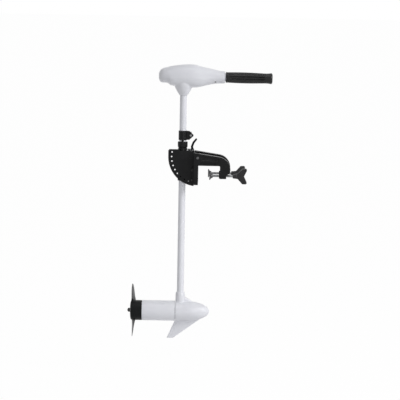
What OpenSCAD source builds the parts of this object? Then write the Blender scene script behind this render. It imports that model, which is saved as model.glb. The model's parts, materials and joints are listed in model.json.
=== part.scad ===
// Transom-mount hand-control trolling motor, modelled piece by piece in millimetres.
// +X points forward into the boat, +Z up. The origin lies on the transom face of the clamp,
// on the centre plane, at the height of the clamp screws.

/* [Shaft] */
// Outer diameter of the shaft tube
shaft_d = 28.6; // [26:0.1:31]
// Wall thickness of the shaft tube
shaft_wall = 3.2; // [2:0.1:4.2]
// Length of the shaft tube
shaft_len = 914; // [800:1:1070]
// Height of the shaft's top end above the clamp screws
shaft_top = 371; // [340:1:420]
// Distance from the transom face back to the shaft's axis
shaft_back = 66; // [64:0.5:71]
// Diameter of one motor lead inside the shaft
lead_d = 6; // [4:0.1:6.4]

/* [Motor] */
// Outer diameter of the motor tube
motor_d = 84; // [81:0.5:90]
// Wall thickness of the motor tube
motor_wall = 3; // [2:0.1:3.4]
// Length of the motor tube
tube_len = 133; // [131:1:170]
// Length of the nose housing, from its seam to its tip
nose_len = 143; // [136:1:165]
// Distance from the shaft's axis back to the seam between nose and tube
seam_back = 21; // [18:0.5:24]
// Length of the straight part of the nose ahead of the seam
nose_straight = 43; // [38:1:50]
// Length of the spigots that enter the motor tube
spigot_len = 12; // [10:0.5:14]
// Thickness of the rear bell's flange
bell_t = 5; // [4:0.5:7]
// Outer diameter of the neck that holds the shaft
neck_d = 39; // [38:0.5:43]
// Height of the neck above the motor's axis
neck_h = 81; // [76:1:92]
// Depth of the skeg below the motor's axis
skeg_drop = 116; // [100:1:130]
// Diameter of the rotor's shaft
rotor_shaft_d = 9.5; // [8:0.1:11]
// Diameter of the armature's core
core_d = 58; // [50:0.5:59]
// Length of the armature's core
core_len = 60; // [45:1:64]

/* [Propeller] */
// Diameter across the blade tips
prop_d = 222; // [190:1:240]
// Diameter of the hub
hub_d = 84; // [80:0.5:88]
// Length of the hub
hub_len = 49; // [44:1:60]
// Wall thickness of the hub's shell
hub_wall = 3.5; // [2.5:0.1:5]
// Number of blades
blade_count = 2; // [2:1:3]

/* [Head] */
// Reach of the head behind the shaft's axis
head_back = 103; // [100:1:112]
// Reach of the head ahead of the shaft's axis
head_fwd = 167; // [164:1:180]
// Greatest width of the head
head_w = 94; // [90:1:104]
// Wall thickness of the head's shells
head_wall = 3; // [2.4:0.1:3.4]
// Height of the parting line above the shaft's top end
part_h = 22; // [20:0.5:24]
// Depth of the neck below the shaft's top end
cone_drop = 44.5; // [42:0.5:52]
// Diameter of the bore in the battery lead's gland
gland_bore = 8; // [6:0.1:9]

/* [Tiller] */
// Height of the tiller's axis above the shaft's top end
tiller_h = 32; // [30:0.5:34]
// Downward slope of the tiller in degrees
tiller_drop = 0.6; // [0:0.1:1.5]
// Outer diameter of the tiller's tube
tiller_d = 34; // [31:0.1:35]
// Wall thickness of the tiller's tube
tiller_wall = 3.4; // [2.5:0.1:4]
// Length of the tube that can be drawn out of the head
tiller_reach = 152; // [120:1:158]
// Width of the square speed rod
rod_w = 8; // [6:0.1:9]
// Length of the grip
grip_len = 185; // [165:1:215]
// Diameter of the grip at its middle
grip_d = 48; // [46:0.1:52]
// Number of grooves along the grip
grip_grooves = 14; // [10:1:18]

/* [Bracket] */
// Width of the clamp across both arms
jaw_w = 136; // [132:1:146]
// Thickness of the transom wall
jaw_t = 18; // [16:0.5:21]
// Depth of the transom wall below the clamp screws
jaw_drop = 38; // [35:1:46]
// Height of the seat on the transom's top above the clamp screws
seat_h = 42; // [38:0.5:46]
// Inner depth of the clamp, from the transom wall to the screw bosses
throat = 90; // [86:0.5:100]
// Width of one clamp arm
arm_w = 26; // [23:0.5:29]
// Height of the arm's back edge above the seat
arm_h = 52.5; // [50:0.5:58]
// Slope of the arm's top edge in degrees
arm_slope = 8.5; // [6:0.5:10]
// Radius of the arm's front corner
arm_round = 54; // [46:1:58]
// Distance between the clamp screws
screw_span = 106; // [104:0.5:110]
// Height of the tilt pivot above the clamp screws
pivot_h = 74; // [73:0.5:78]
// Diameter of the tilt pivot bolt
pivot_d = 8; // [7:0.1:10]
// Radius of the index holes about the pivot
index_r = 108; // [105:0.5:109]
// Diameter of the index holes
index_d = 6; // [5:0.1:8]
// Angle between neighbouring index holes
index_step = 10; // [9:0.5:10]
// Number of index holes
index_count = 9; // [5:1:9]
// Outer radius of the index quadrant
quadrant_r = 122; // [118:0.5:126]
// Radius of the plain far cheek
cheek_r = 88; // [84:1:92]
// Thickness of the quadrant and the cheek
cheek_t = 6; // [5:0.1:7]

/* [Yoke] */
// Outer diameter of the yoke's sleeve
sleeve_d = 38; // [37:0.1:40]
// Wall thickness of the steering bushes
bush_t = 1.6; // [1.2:0.1:1.8]
// Height of the sleeve's top above the clamp screws
sleeve_top = 108; // [105:0.5:111]
// Height of the steering tension collar
tension_h = 26; // [23:0.5:28]
// Outer diameter of the steering tension collar
tension_d = 41; // [40.4:0.1:44]
// Height of the depth collar
collar_h = 38; // [34:0.5:44]
// Gap between the tension collar and the depth collar, bridged by two feet
collar_gap = 7; // [5:0.5:9]
// Wall thickness of the depth collar
collar_wall = 3.4; // [2.5:0.1:5]

/* [Clamp screws] */
// Diameter of the clamp screws
screw_d = 10; // [8:0.1:10.5]
// Diameter of the swivel pads
pad_d = 34; // [28:0.5:38]
// Gap between the transom face and the near pad
pad_gap = 46.5; // [42:0.5:50]
// How much further the far screw is turned in
far_turned_in = 6; // [3:0.5:8]
// Length from the pad's face to the knob's hub
screw_reach = 96.5; // [94:0.5:106]
// Reach of the knob's wings from the screw's axis
wing_reach = 33; // [28:0.5:40]

/* [Hidden] */
// Running clearance on the radius of turning and sliding fits
slip = 0.05;
// Clearance of seated pieces
seat = 0.2;
// Gap between pieces that move past each other
gap = 0.3;
// Small extra length that carries a cut past a face
over = 1;

white = "#e7e8ea";
black = "#2a2b2e";
steel = "#b7babd";
brass = "#c6a24c";
copper = "#b6703a";
nylon = "#e4e0d4";
rubber = "#232326";

$fn = 48;
hull_fn = 32;

shaft_r = shaft_d / 2;
shaft_x = -shaft_back;
shaft_foot = shaft_top - shaft_len;
lead_off = (shaft_r - shaft_wall) / 2 - 0.6;
lead_tail = 7;
grommet_h = 12;

motor_r = motor_d / 2;
bore_r = motor_r - motor_wall;
cavity_r = core_d / 2 + 1.5;
foot_web = 3;
motor_z = shaft_foot - cavity_r - foot_web;
seam_x = -seam_back;
tip_x = seam_x + nose_len;
tube_back = seam_x - tube_len;
bell_back = tube_back - bell_t;
brg_x = seam_x + 51;
brg_r = 11;
brg_t = 7;
seal_r = 9;
spindle_r = rotor_shaft_d / 2;
bolt_r = 2;
bolt_head_r = 3.6;
ring_r = 1;
bolt_off = bore_r - slip - 2 * ring_r - bolt_r - gap;
ring_off = 4;
core_front = seam_x - spigot_len - 2;
core_back = core_front - core_len;
coil_len = 12;
com_r = 13;
com_x = brg_x - 28;
com_len = 17;
plate_x = brg_x - 10;
plate_t = 3;
brush_w = 9;
brush_h = 8;
brush_len = 11;
holder_wall = 3;
holder_reach = cavity_r - 1.5;

hub_front = bell_back - 1.2;
hub_back = hub_front - hub_len;
hub_boss_r = 11;
pin_r = 2;
pin_x = hub_front - 10;
nut_len = 7;
washer_t = 1.4;

// Profile of the head: place along its length as a share of its reach behind (negative) or
// ahead (positive), half width as a share of the greatest, bottom and top above the shaft's
// end, and squareness of the section
head_rows = [
    [-1.00, 0.16, 24.6, 43.6, 2],
    [-0.975, 0.42, 16.6, 51.6, 2.1],
    [-0.92, 0.62, 8.6, 59.6, 2.2],
    [-0.82, 0.76, 6.1, 66.6, 2.3],
    [-0.68, 0.86, 5.8, 70.1, 2.4],
    [-0.61, 0.90, 3.5, 71.6, 2.4],
    [-0.55, 0.93, -2.5, 73.6, 2.4],
    [-0.44, 0.96, -5.5, 76.1, 2.4],
    [-0.10, 1.00, -8, 81.1, 2.4],
    [0.15, 0.985, -10.5, 83.3, 2.4],
    [0.30, 0.93, -12, 81.4, 2.4],
    [0.45, 0.82, -7, 74.2, 2.3],
    [0.60, 0.70, -0.8, 69.2, 2.2],
    [0.76, 0.60, 4.6, 63.2, 2.1],
    [0.89, 0.555, 6.3, 58.6, 2],
    [1.00, 0.54, 6.5, 57.5, 2]
];
head_sides = 28;
row_split = 2;
socket_len = 46;
socket_r = 22;
cone_r = shaft_r + 2.2;
cone_top_r = head_w * 0.479;
post_r = 4;
head_screw_r = 1.5;
head_screw_head = 3.4;
head_posts = [[-0.71, 27], [-0.71, -27], [0.63, 23.5], [0.63, -23.5]];
handle_screw_x = 36;
handle_screw_z = -19.4;
switch_r = 18;
switch_len = 44;
switch_gap = 37;
stub_len = 10;
gland_x = -30;
gland_z = 12;
gland_y = 44.4;
gland_r = gland_bore / 2 + 3;
neck_screw_z = -34;

tiller_r = tiller_d / 2;
tube_in = tiller_r - tiller_wall;
tiller_tail = tiller_reach + 16;
slider_len = 16;
grip_start = 6;
cap_len = 7;
cap_plug = 18;

pivot_x = -2.5;
yoke_half = sleeve_d / 2 + gap;
cheek_in = yoke_half + gap;
cheek_out = cheek_in + cheek_t;
arm_out = jaw_w / 2;
arm_in = arm_out - arm_w;
screw_y = screw_span / 2;
screw_r = screw_d / 2;
insert_r = screw_r + 3;
boss_r = insert_r + 3;
boss_len = 29;
boss_start = throat - 4;
flange_t = 6;
flange_out = arm_in + 12;
flange_bolt_y = (cheek_out + flange_out) / 2;
flange_bolt_z = 20;
flange_bolt_r = 3;
index_low = -70;
lock_x = pivot_x - index_r * cos(index_low);
lock_z = pivot_h + index_r * sin(index_low);
lock_tip_r = index_d / 2 - 0.2;
lock_body_r = 5;
lock_throw = 5.9;
rod_r = 2.5;
wedge_t = 3;
wedge_w = 5;
wedge_y = -6;
wedge_rise = lock_body_r + 3;
wedge_out = wedge_y + wedge_rise + wedge_t / sqrt(2);

bush_r = shaft_r + slip + bush_t;
sleeve_bore = bush_r + slip;
sleeve_foot = lock_z + 1;
thread_r = sleeve_d / 2 - 1.8;
thread_top = sleeve_top + tension_h - 7;
tension_z = sleeve_top + 1;
tension_top = tension_z + tension_h;
collar_z = tension_top + collar_gap;
collar_top = collar_z + collar_h;
collar_r = shaft_r + slip + collar_wall;
ear_reach = 44;
ear_t = 6.5;
ear_slit = 1.5;
ear_bolt_x = 33;
ear_bolt_r = 3;
ear_bolt_z = collar_z + collar_h / 2;
lever_arm = 14;
lever_x = lock_x + lever_arm;
lever_z = sleeve_top - 8;
lever_t = 8;
lever_eye_r = 7;
lever_pin_r = 3;
link_pin_r = 2.5;
fork_half = lever_t / 2 + gap + 2.7;
fork_low = lever_z - 12;

pad_cone = 14;
socket_depth = 8;
knob_hub_r = 9;
knob_hub_len = 18;

// Frames and plain shapes

module at_shaft(z = 0) {
    translate([shaft_x, 0, z]) children();
}

module at_motor() {
    at_shaft(motor_z) children();
}

module at_head() {
    at_shaft(shaft_top) children();
}

module at_tiller() {
    translate([shaft_x + head_fwd, 0, shaft_top + tiller_h]) rotate([0, tiller_drop, 0]) children();
}

module both_sides() {
    children();
    mirror([0, 1, 0]) children();
}

module x_rod(r, from, to) {
    translate([from, 0, 0]) rotate([0, 90, 0]) cylinder(r = r, h = to - from);
}

module y_rod(r, from, to) {
    translate([0, from, 0]) rotate([-90, 0, 0]) cylinder(r = r, h = to - from);
}

module z_rod(r, from, to) {
    translate([0, 0, from]) cylinder(r = r, h = to - from);
}

module x_ring(inner, outer, from, to) {
    difference() {
        x_rod(outer, from, to);
        x_rod(inner, from - over, to + over);
    }
}

module z_ring(inner, outer, from, to) {
    difference() {
        z_rod(outer, from, to);
        z_rod(inner, from - over, to + over);
    }
}

// Turns a radius and length outline about the X axis
module x_turn() {
    rotate([0, 90, 0]) rotate_extrude() children();
}

// Stands an outline drawn in X and Z upright, from one side to the other
module upright(from, to) {
    translate([0, to, 0]) rotate([90, 0, 0]) linear_extrude(to - from) children();
}

// Lofts through sections of equal point count, given in order along the loft
module loft(rings) {
    n = len(rings[0]);
    last = len(rings) - 1;
    points = [for (ring = rings) for (p = ring) p];
    sides = [
        for (k = [0 : last - 1]) for (i = [0 : n - 1]) for (half = [0, 1])
            let (j = (i + 1) % n, a = k * n, b = a + n)
                half == 0 ? [a + i, b + i, b + j] : [a + i, b + j, a + j]
    ];
    foot = [for (i = [0 : n - 1]) i];
    head = [for (i = [n - 1 : -1 : 0]) last * n + i];
    polyhedron(points, concat(sides, [foot, head]));
}

function curve(a, b, c, d, t) =
    0.5 * (2 * b + (c - a) * t + (2 * a - 5 * b + 4 * c - d) * t * t
        + (3 * b - a - 3 * c + d) * t * t * t);

function smooth_rows(rows, parts) = [
    for (i = [0 : len(rows) - 2]) for (k = [0 : parts - 1])
        curve(rows[max(i - 1, 0)], rows[i], rows[i + 1], rows[min(i + 2, len(rows) - 1)], k / parts),
    rows[len(rows) - 1]
];

function bulge(v, e) = sign(v) * pow(abs(v), 2 / e);

// Bracket

module arm_outline() {
    back = -jaw_t;
    top = seat_h + arm_h;
    front = throat + boss_len + 14;
    round_x = front - arm_round;
    round_z = top - (round_x - back) * tan(arm_slope) - arm_round / cos(arm_slope);
    end_z = -boss_r;
    inner_r = 5;
    bend = [
        for (a = [90 - arm_slope : -9 : 0])
            [round_x + arm_round * cos(a), round_z + arm_round * sin(a)]
    ];
    fillet = [
        for (a = [0 : 15 : 90])
            [throat - inner_r + inner_r * cos(a), seat_h - inner_r + inner_r * sin(a)]
    ];
    polygon(concat([[back, seat_h - 12], [back, top]], bend,
        [[front - 1, 17], [front - 5, 10.5], [front - 11, 6.5], [front - 17, 4], [front - 17, end_z],
            [throat, end_z]], fillet, [[0, seat_h], [0, seat_h - 12]]));
}

// Sunk panels on the outside of an arm, with ribs between those that follow its top edge
module arm_panels() {
    rib = 3.5;
    panel_w = 18;
    rim = 4.5;
    low = seat_h + 32;
    panel_from = 16;
    for (i = [0 : 1]) {
        x = panel_from + i * (panel_w + rib);
        far_x = x + panel_w;
        top = seat_h + arm_h - rim;
        polygon([[x, low], [far_x, low], [far_x, top - (far_x + jaw_t) * tan(arm_slope)],
            [x, top - (x + jaw_t) * tan(arm_slope)]]);
    }
    translate([pivot_x + 14, seat_h + 25]) square([throat - 14, 3]);
    translate([6, seat_h + 6]) square([throat - 22, 9]);
}

module clamp_frame() {
    panel_depth = 5;
    color(black) difference() {
        union() {
            translate([-jaw_t, -arm_out, -jaw_drop]) cube([jaw_t, jaw_w, jaw_drop + seat_h]);
            both_sides() difference() {
                upright(-arm_out, -arm_in) arm_outline();
                upright(-arm_out - over, -arm_out + panel_depth) arm_panels();
            }
            both_sides() translate([0, -screw_y, 0]) x_rod(boss_r, boss_start, boss_start + boss_len);
            both_sides() translate([pivot_x, 0, pivot_h]) y_rod(pivot_d + 2, -arm_in - over, -cheek_out);
        }
        both_sides() translate([0, -screw_y, 0])
            x_rod(insert_r + slip, boss_start - over, boss_start + boss_len + 20);
        translate([pivot_x, 0, pivot_h]) y_rod(pivot_d / 2 + slip, -arm_out - over, arm_out + over);
        flange_bolt_places() x_rod(flange_bolt_r + slip, -jaw_t - over, -5);
    }
}

module flange_bolt_places() {
    for (side = [-1, 1]) for (level = [-1, 1])
        translate([0, side * flange_bolt_y, level * flange_bolt_z]) children();
}

// One cheek in X and Z: a fan below the pivot and a band above it
module cheek_outline(r, top_back, top_front) {
    left = pivot_x - r;
    step_x = shaft_x - 17;
    corner = 5;
    steps = 20;
    sweep = 90 - asin((jaw_t + pivot_x) / r);
    fan = [
        for (i = [0 : steps]) let (a = 180 + sweep * i / steps)
            [pivot_x + r * cos(a), pivot_h + r * sin(a)]
    ];
    polygon(concat(fan, [[-jaw_t, seat_h + 2], [pivot_x, seat_h + 18],
        [pivot_x + 12, pivot_h], [pivot_x + 8, top_front], [step_x + 8, top_front],
        [step_x, top_back], [left + corner, top_back], [left, top_back - corner]]));
    translate([pivot_x, pivot_h]) circle(r = 14);
}

// A cheek with its bolted foot; side is -1 for the near one and 1 for the far one
module cheek(side, r, top_back, top_front) {
    from = side < 0 ? -cheek_out : cheek_in;
    foot_from = side < 0 ? -flange_out : cheek_in;
    foot_low = -flange_bolt_z - 12;
    difference() {
        union() {
            upright(from, from + cheek_t) cheek_outline(r, top_back, top_front);
            translate([-jaw_t - flange_t, foot_from, foot_low])
                cube([flange_t, flange_out - cheek_in, -2 * foot_low]);
        }
        translate([pivot_x, 0, pivot_h]) y_rod(pivot_d / 2 + slip, from - over, from + cheek_t + over);
        for (level = [-1, 1])
            translate([0, side * flange_bolt_y, level * flange_bolt_z])
                x_rod(flange_bolt_r + slip, -jaw_t - flange_t - over, -jaw_t + over);
    }
}

module index_quadrant() {
    color(black) difference() {
        cheek(-1, quadrant_r, sleeve_top - 3.5, sleeve_top - 10);
        for (i = [0 : index_count - 1]) {
            a = index_low + i * index_step;
            translate([pivot_x - index_r * cos(a), 0, pivot_h + index_r * sin(a)])
                y_rod(index_d / 2, -cheek_out - over, -cheek_in + over);
        }
        translate([pivot_x - index_r + 30, -cheek_out - over, seat_h + 24])
            cube([index_r - jaw_t - 36, over + 1, 2.4]);
    }
}

module far_cheek() {
    color(black) cheek(1, cheek_r, sleeve_top - 14, sleeve_top - 17);
}

module pivot_bolt() {
    head_t = 5;
    color(steel) translate([pivot_x, 0, pivot_h]) {
        y_rod(pivot_d / 2, -arm_out, arm_out + 12);
        translate([0, -arm_out, 0]) rotate([90, 0, 0]) cylinder(r = pivot_d * 0.75, h = head_t, $fn = 6);
    }
}

module pivot_nut() {
    nut_t = 8;
    color(steel) translate([pivot_x, arm_out, pivot_h]) rotate([-90, 0, 0]) difference() {
        cylinder(r = pivot_d * 0.85, h = nut_t, $fn = 6);
        z_rod(pivot_d / 2 + slip, -over, nut_t + over);
    }
}

module bracket_bolts() {
    head_t = 4;
    color(steel) flange_bolt_places() {
        x_rod(flange_bolt_r, -jaw_t - flange_t - over, -6);
        translate([-jaw_t - flange_t - head_t, 0, 0]) rotate([0, 90, 0])
            cylinder(r = flange_bolt_r * 1.8, h = head_t, $fn = 6);
    }
}

module clamp_inserts() {
    color(brass) both_sides() translate([0, -screw_y, 0])
        x_ring(screw_r + slip, insert_r, boss_start, boss_start + boss_len);
}

// Tilt yoke and its lock

module tilt_yoke() {
    web_half = 12;
    web_low = pivot_h - 17;
    web_top = pivot_h + 14;
    arm_half = 9;
    lock_boss_r = lock_body_r + 4;
    lock_back = 13;
    ear_half = fork_half + 3;
    color(black) difference() {
        union() {
            at_shaft() z_rod(sleeve_d / 2, sleeve_foot, sleeve_top);
            at_shaft() z_rod(thread_r, sleeve_top - over, thread_top);
            translate([shaft_x, -web_half, web_low])
                cube([pivot_x - shaft_x, 2 * web_half, web_top - web_low]);
            translate([pivot_x, 0, pivot_h]) y_rod(pivot_d / 2 + 9, -yoke_half, yoke_half);
            translate([shaft_x, -arm_half, lock_z - lock_boss_r])
                cube([lock_x - shaft_x, 2 * arm_half, web_low - lock_z + lock_boss_r + over]);
            translate([lock_x, 0, lock_z]) y_rod(lock_boss_r, -yoke_half, lock_back);
            translate([lock_x - 6, -arm_half, lock_z])
                cube([12, 2 * arm_half, web_low - lock_z + over]);
            translate([lever_x - 6.5, -ear_half, web_top - over])
                cube([13, 2 * ear_half, lever_z + 6 - web_top + over]);
        }
        at_shaft() z_rod(sleeve_bore, lock_z - 2 * lock_boss_r, thread_top + over);
        translate([pivot_x, 0, pivot_h])
            y_rod(pivot_d / 2 + 2 + 2 * slip, -yoke_half - over, yoke_half + over);
        translate([lock_x, 0, lock_z]) y_rod(lock_body_r + slip, -yoke_half - over, lock_back + over);
        translate([lock_x, 0, 0]) z_rod(rod_r + slip, lock_z + 4, lever_z + 20);
        translate([lock_x - wedge_w / 2 - 0.6, -yoke_half - over, lock_z - 20])
            cube([wedge_w + 1.2, yoke_half + over + wedge_out + gap, 20 + wedge_rise + lock_throw + 2 * gap]);
        translate([lock_x - 7, -fork_half - 0.5, fork_low - gap])
            cube([15, 2 * fork_half + 1, 60]);
        translate([lever_x - lever_eye_r - over, -lever_t / 2 - gap, lever_z - lever_eye_r - 2 * gap])
            cube([30, lever_t + 2 * gap, lever_z]);
        translate([lever_x, 0, lever_z]) y_rod(lever_pin_r + slip, -ear_half - over, ear_half + over);
    }
}

module pivot_bush() {
    color(nylon) translate([pivot_x, 0, pivot_h]) difference() {
        y_rod(pivot_d / 2 + 2 + slip, -yoke_half, yoke_half);
        y_rod(pivot_d / 2 + slip, -yoke_half - over, yoke_half + over);
    }
}

module upper_bush() {
    color(nylon) at_shaft() z_ring(shaft_r + slip, bush_r, sleeve_top - 26, thread_top);
}

module lower_bush() {
    color(nylon) at_shaft() z_ring(shaft_r + slip, bush_r, sleeve_foot, sleeve_foot + 32);
}

module lever_pin() {
    reach = fork_half + 3;
    color(steel) translate([lever_x, 0, lever_z]) y_rod(lever_pin_r, -reach, reach);
}

module tension_collar() {
    flutes = 20;
    bevel = 3;
    lip_t = 6;
    r = tension_d / 2;
    color(black) at_shaft() difference() {
        rotate_extrude() polygon([
            [thread_r + slip, tension_z], [r - bevel, tension_z], [r, tension_z + 2 * bevel],
            [r, tension_top - 1.5], [r - 1.5, tension_top], [shaft_r + 0.8, tension_top],
            [shaft_r + 0.8, tension_top - lip_t], [thread_r + slip, tension_top - lip_t]
        ]);
        for (i = [0 : flutes - 1])
            rotate(i * 360 / flutes) translate([r + 0.5, 0, 0])
                z_rod(1.1, tension_z + 3 * bevel, tension_top + over);
    }
}

// Lever that works the lock: its short arm carries a cross pin in the rod's fork
module lock_lever() {
    end_r = 4.3;
    arm_half = 3;
    color(black) difference() {
        union() {
            translate([lever_x, 0, lever_z]) upright(-lever_t / 2, lever_t / 2) {
                circle(r = lever_eye_r);
                polygon([
                    [-5.2, 0], [-6.4, 10], [-6.8, 16], [0.5, 34], [12, 47.5], [13.6, 48.9], [16, 49],
                    [18, 47.6], [18.8, 45.4], [18, 42.8], [8, 29.5], [2.8, 15], [3.8, 9], [5.2, 0]
                ]);
                translate([-lever_arm, -arm_half]) square([lever_arm, 2 * arm_half]);
                translate([-lever_arm, 0]) circle(r = end_r);
            }
            translate([lock_x, 0, lever_z]) y_rod(link_pin_r, -fork_half, fork_half);
        }
        translate([lever_x, 0, lever_z]) y_rod(lever_pin_r + slip, -lever_t, lever_t);
    }
}

// Pull rod with a slotted fork above and a slanted wedge through the lock pin below
module lock_rod() {
    slot_lift = link_pin_r + gap;
    drop = lock_body_r + lock_throw;
    color(steel) translate([lock_x, 0, 0]) {
        z_rod(rod_r, lock_z + lock_body_r + 0.6, fork_low + over);
        translate([-5, -fork_half, fork_low]) cube([10, 2 * fork_half, 4]);
        both_sides() difference() {
            translate([-6.5, lever_t / 2 + gap, fork_low])
                cube([13, fork_half - lever_t / 2 - gap, lever_z - fork_low + 5.5]);
            translate([-slot_lift, 0, lever_z - slot_lift])
                cube([2 * slot_lift + 1.4, 2 * fork_half, 2 * slot_lift]);
        }
        translate([0, 0, lock_z]) intersection() {
            translate([-wedge_w / 2, wedge_y - drop, -drop]) cube([wedge_w, 30, drop + wedge_rise]);
            translate([-wedge_w, wedge_y, 0]) rotate([-45, 0, 0]) translate([0, -wedge_t / 2, -30])
                cube([2 * wedge_w, wedge_t, 60]);
        }
    }
}

module lock_pin() {
    back = 12;
    shoulder = -cheek_in + 6.6;
    slot_t = wedge_t + 0.6;
    slot_w = wedge_w + 0.6;
    color(steel) translate([lock_x, 0, lock_z]) difference() {
        union() {
            y_rod(lock_tip_r, -cheek_in + gap, back);
            y_rod(lock_body_r, shoulder, back);
        }
        translate([-slot_w / 2, wedge_y, 0]) rotate([-45, 0, 0]) translate([0, -slot_t / 2, -30])
            cube([slot_w, slot_t, 60]);
    }
}

// Depth collar

module depth_collar() {
    foot_w = 10;
    mid = ear_bolt_z;
    half = collar_h / 2;
    ear_top = ear_reach - 17;
    ear_out = ear_slit + ear_t;
    color(black) at_shaft() difference() {
        union() {
            z_rod(collar_r, collar_z, collar_top);
            upright(-ear_slit - ear_t, ear_slit + ear_t) polygon([
                [0, mid + half], [ear_top, mid + half - 1], [ear_reach, mid + 2],
                [ear_reach, mid - 2], [ear_top, mid - half + 1], [0, mid - half]
            ]);
            intersection() {
                z_rod(collar_r, tension_top + gap, collar_z + over);
                translate([-foot_w / 2, -2 * collar_r, tension_top])
                    cube([foot_w, 4 * collar_r, collar_gap + over]);
            }
        }
        z_rod(shaft_r + slip, tension_top - over, collar_top + over);
        translate([0, -ear_slit, collar_z - over]) cube([2 * ear_reach, 2 * ear_slit, collar_h + 2 * over]);
        translate([ear_bolt_x, 0, mid]) y_rod(ear_bolt_r + slip, -ear_out - over, ear_out + over);
    }
}

module collar_bolt() {
    ear_out = ear_slit + ear_t;
    color(steel) at_shaft() translate([ear_bolt_x, 0, ear_bolt_z]) {
        y_rod(ear_bolt_r, -ear_out - over, ear_out + 16);
        y_rod(ear_bolt_r * 1.6, -ear_out - 3, -ear_out);
    }
}

module collar_washer() {
    from = ear_slit + ear_t;
    color(steel) at_shaft() translate([ear_bolt_x, 0, ear_bolt_z]) difference() {
        y_rod(7, from, from + washer_t);
        y_rod(ear_bolt_r + slip, from - over, from + washer_t + over);
    }
}

module collar_knob() {
    from = ear_slit + ear_t + washer_t;
    hub_t = 13;
    wing_t = 5;
    color(black) at_shaft() translate([ear_bolt_x, 0, ear_bolt_z]) difference() {
        union() {
            y_rod(6.5, from, from + hub_t);
            for (turn = [0, 180]) rotate([0, turn, 0])
                translate([-wing_t / 2, 0, 0]) rotate([90, 0, 90]) linear_extrude(wing_t) polygon([
                    [from + 2, 0], [from + 2, 6], [from + 8, 13], [from + 17, 13], [from + 16, 8],
                    [from + 11, 0]
                ]);
        }
        y_rod(ear_bolt_r + slip, from - over, from + hub_t + 8);
    }
}

// Shaft

module shaft_tube() {
    color(white) difference() {
        at_shaft() z_ring(shaft_r - shaft_wall, shaft_r, shaft_foot, shaft_top);
        at_head() translate([0, 0, neck_screw_z]) y_rod(2 + slip, 0, shaft_d);
    }
}

module motor_leads() {
    color(rubber) at_shaft() both_sides() translate([0, lead_off, 0])
        z_rod(lead_d / 2, shaft_foot - lead_tail / 2, shaft_top + lead_tail);
}

module lead_grommets() {
    color(rubber) at_shaft() for (z = [shaft_foot + 1, shaft_top - grommet_h - 1]) difference() {
        z_rod(shaft_r - shaft_wall - slip, z, z + grommet_h);
        both_sides() translate([0, lead_off, 0]) z_rod(lead_d / 2 + slip, z - over, z + grommet_h + over);
    }
}

// Head

function head_x(row) = row[0] < 0 ? row[0] * head_back : row[0] * head_fwd;

function head_ring(row, inset, x) =
    let (w = row[1] * head_w / 2 - inset, mid = (row[2] + row[3]) / 2, h = (row[3] - row[2]) / 2 - inset)
        [for (i = [0 : head_sides - 1])
            let (a = 360 * (i + 0.5) / head_sides)
                [x, w * bulge(cos(a), row[4]), mid + h * bulge(sin(a), row[4])]];

module head_form(inset) {
    rows = smooth_rows(head_rows, row_split);
    last = len(rows) - 1;
    loft([
        for (k = [inset > 0 ? row_split : 0 : last])
            head_ring(rows[k], inset, head_x(rows[k]) + (k == last && inset > 0 ? over : 0))
    ]);
}

module head_shell() {
    difference() {
        head_form(0);
        head_form(head_wall);
    }
}

module head_half(above) {
    reach = head_back + head_fwd;
    translate([-reach, -reach, above ? part_h : part_h - reach]) cube([2 * reach, 2 * reach, reach]);
}

module head_post_places() {
    for (p = head_posts)
        translate([p[0] < 0 ? p[0] * head_back : p[0] * head_fwd, p[1], 0]) children();
}

// Outline of the cone below the head; inset gives its inner side
module cone_outline(inset) {
    polygon([
        [0, -cone_drop], [cone_r - inset, -cone_drop], [cone_r + 8.5 - inset, -cone_drop * 0.73],
        [cone_top_r * 0.82 - inset, -cone_drop * 0.315 + inset / 2],
        [cone_top_r - inset, -2 + inset / 2], [cone_top_r - inset, part_h], [0, part_h]
    ]);
}

module head_base() {
    lip_t = 3;
    floor_z = 8.5;
    color(white) at_head() difference() {
        union() {
            difference() {
                union() {
                    intersection() {
                        head_shell();
                        head_half(false);
                    }
                    intersection() {
                        rotate_extrude() cone_outline(0);
                        union() {
                            head_form(0);
                            head_half(false);
                        }
                    }
                }
                rotate_extrude() intersection() {
                    cone_outline(head_wall);
                    translate([0, -cone_drop + 8]) square([head_w, head_fwd]);
                }
                tiller_space();
            }
            z_rod(cone_r, -cone_drop, lip_t);
            intersection() {
                head_form(0);
                head_half(false);
                head_post_places() z_rod(post_r, -40, part_h);
            }
            switch_pedestal(floor_z);
        }
        z_rod(shaft_r + slip, -cone_drop - over, 0);
        z_rod(shaft_r - shaft_wall, -over, lip_t + over);
        head_post_places() z_rod(head_screw_r + slip, -40, part_h + over);
        head_post_places() z_rod(head_screw_head + 0.3, -40, part_h - 4);
        translate([0, 0, neck_screw_z]) y_rod(2 + slip, 0, 60);
        translate([0, 0, neck_screw_z]) y_rod(3.8, cone_r + 6.4, 60);
        translate([gland_x, 0, gland_z]) y_rod(gland_r + slip, 20, 60);
        socket_space();
    }
}

// Room for the tiller and the switch through the top of the cone
module tiller_space() {
    translate([head_fwd, 0, tiller_h]) rotate([0, tiller_drop, 0])
        x_rod(switch_r + gap, -head_fwd - cone_top_r - 3, -socket_len);
}

// Room for the bushing inside the head's front end
module socket_space() {
    translate([head_fwd, 0, tiller_h]) rotate([0, tiller_drop, 0]) {
        x_rod(socket_r + slip, -socket_len, over);
        translate([-handle_screw_x, 0, handle_screw_z]) y_rod(head_screw_r + slip, -40, 0);
        translate([-handle_screw_x, 0, handle_screw_z]) y_rod(head_screw_head + 0.2, -60, -18.6);
    }
}

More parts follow.
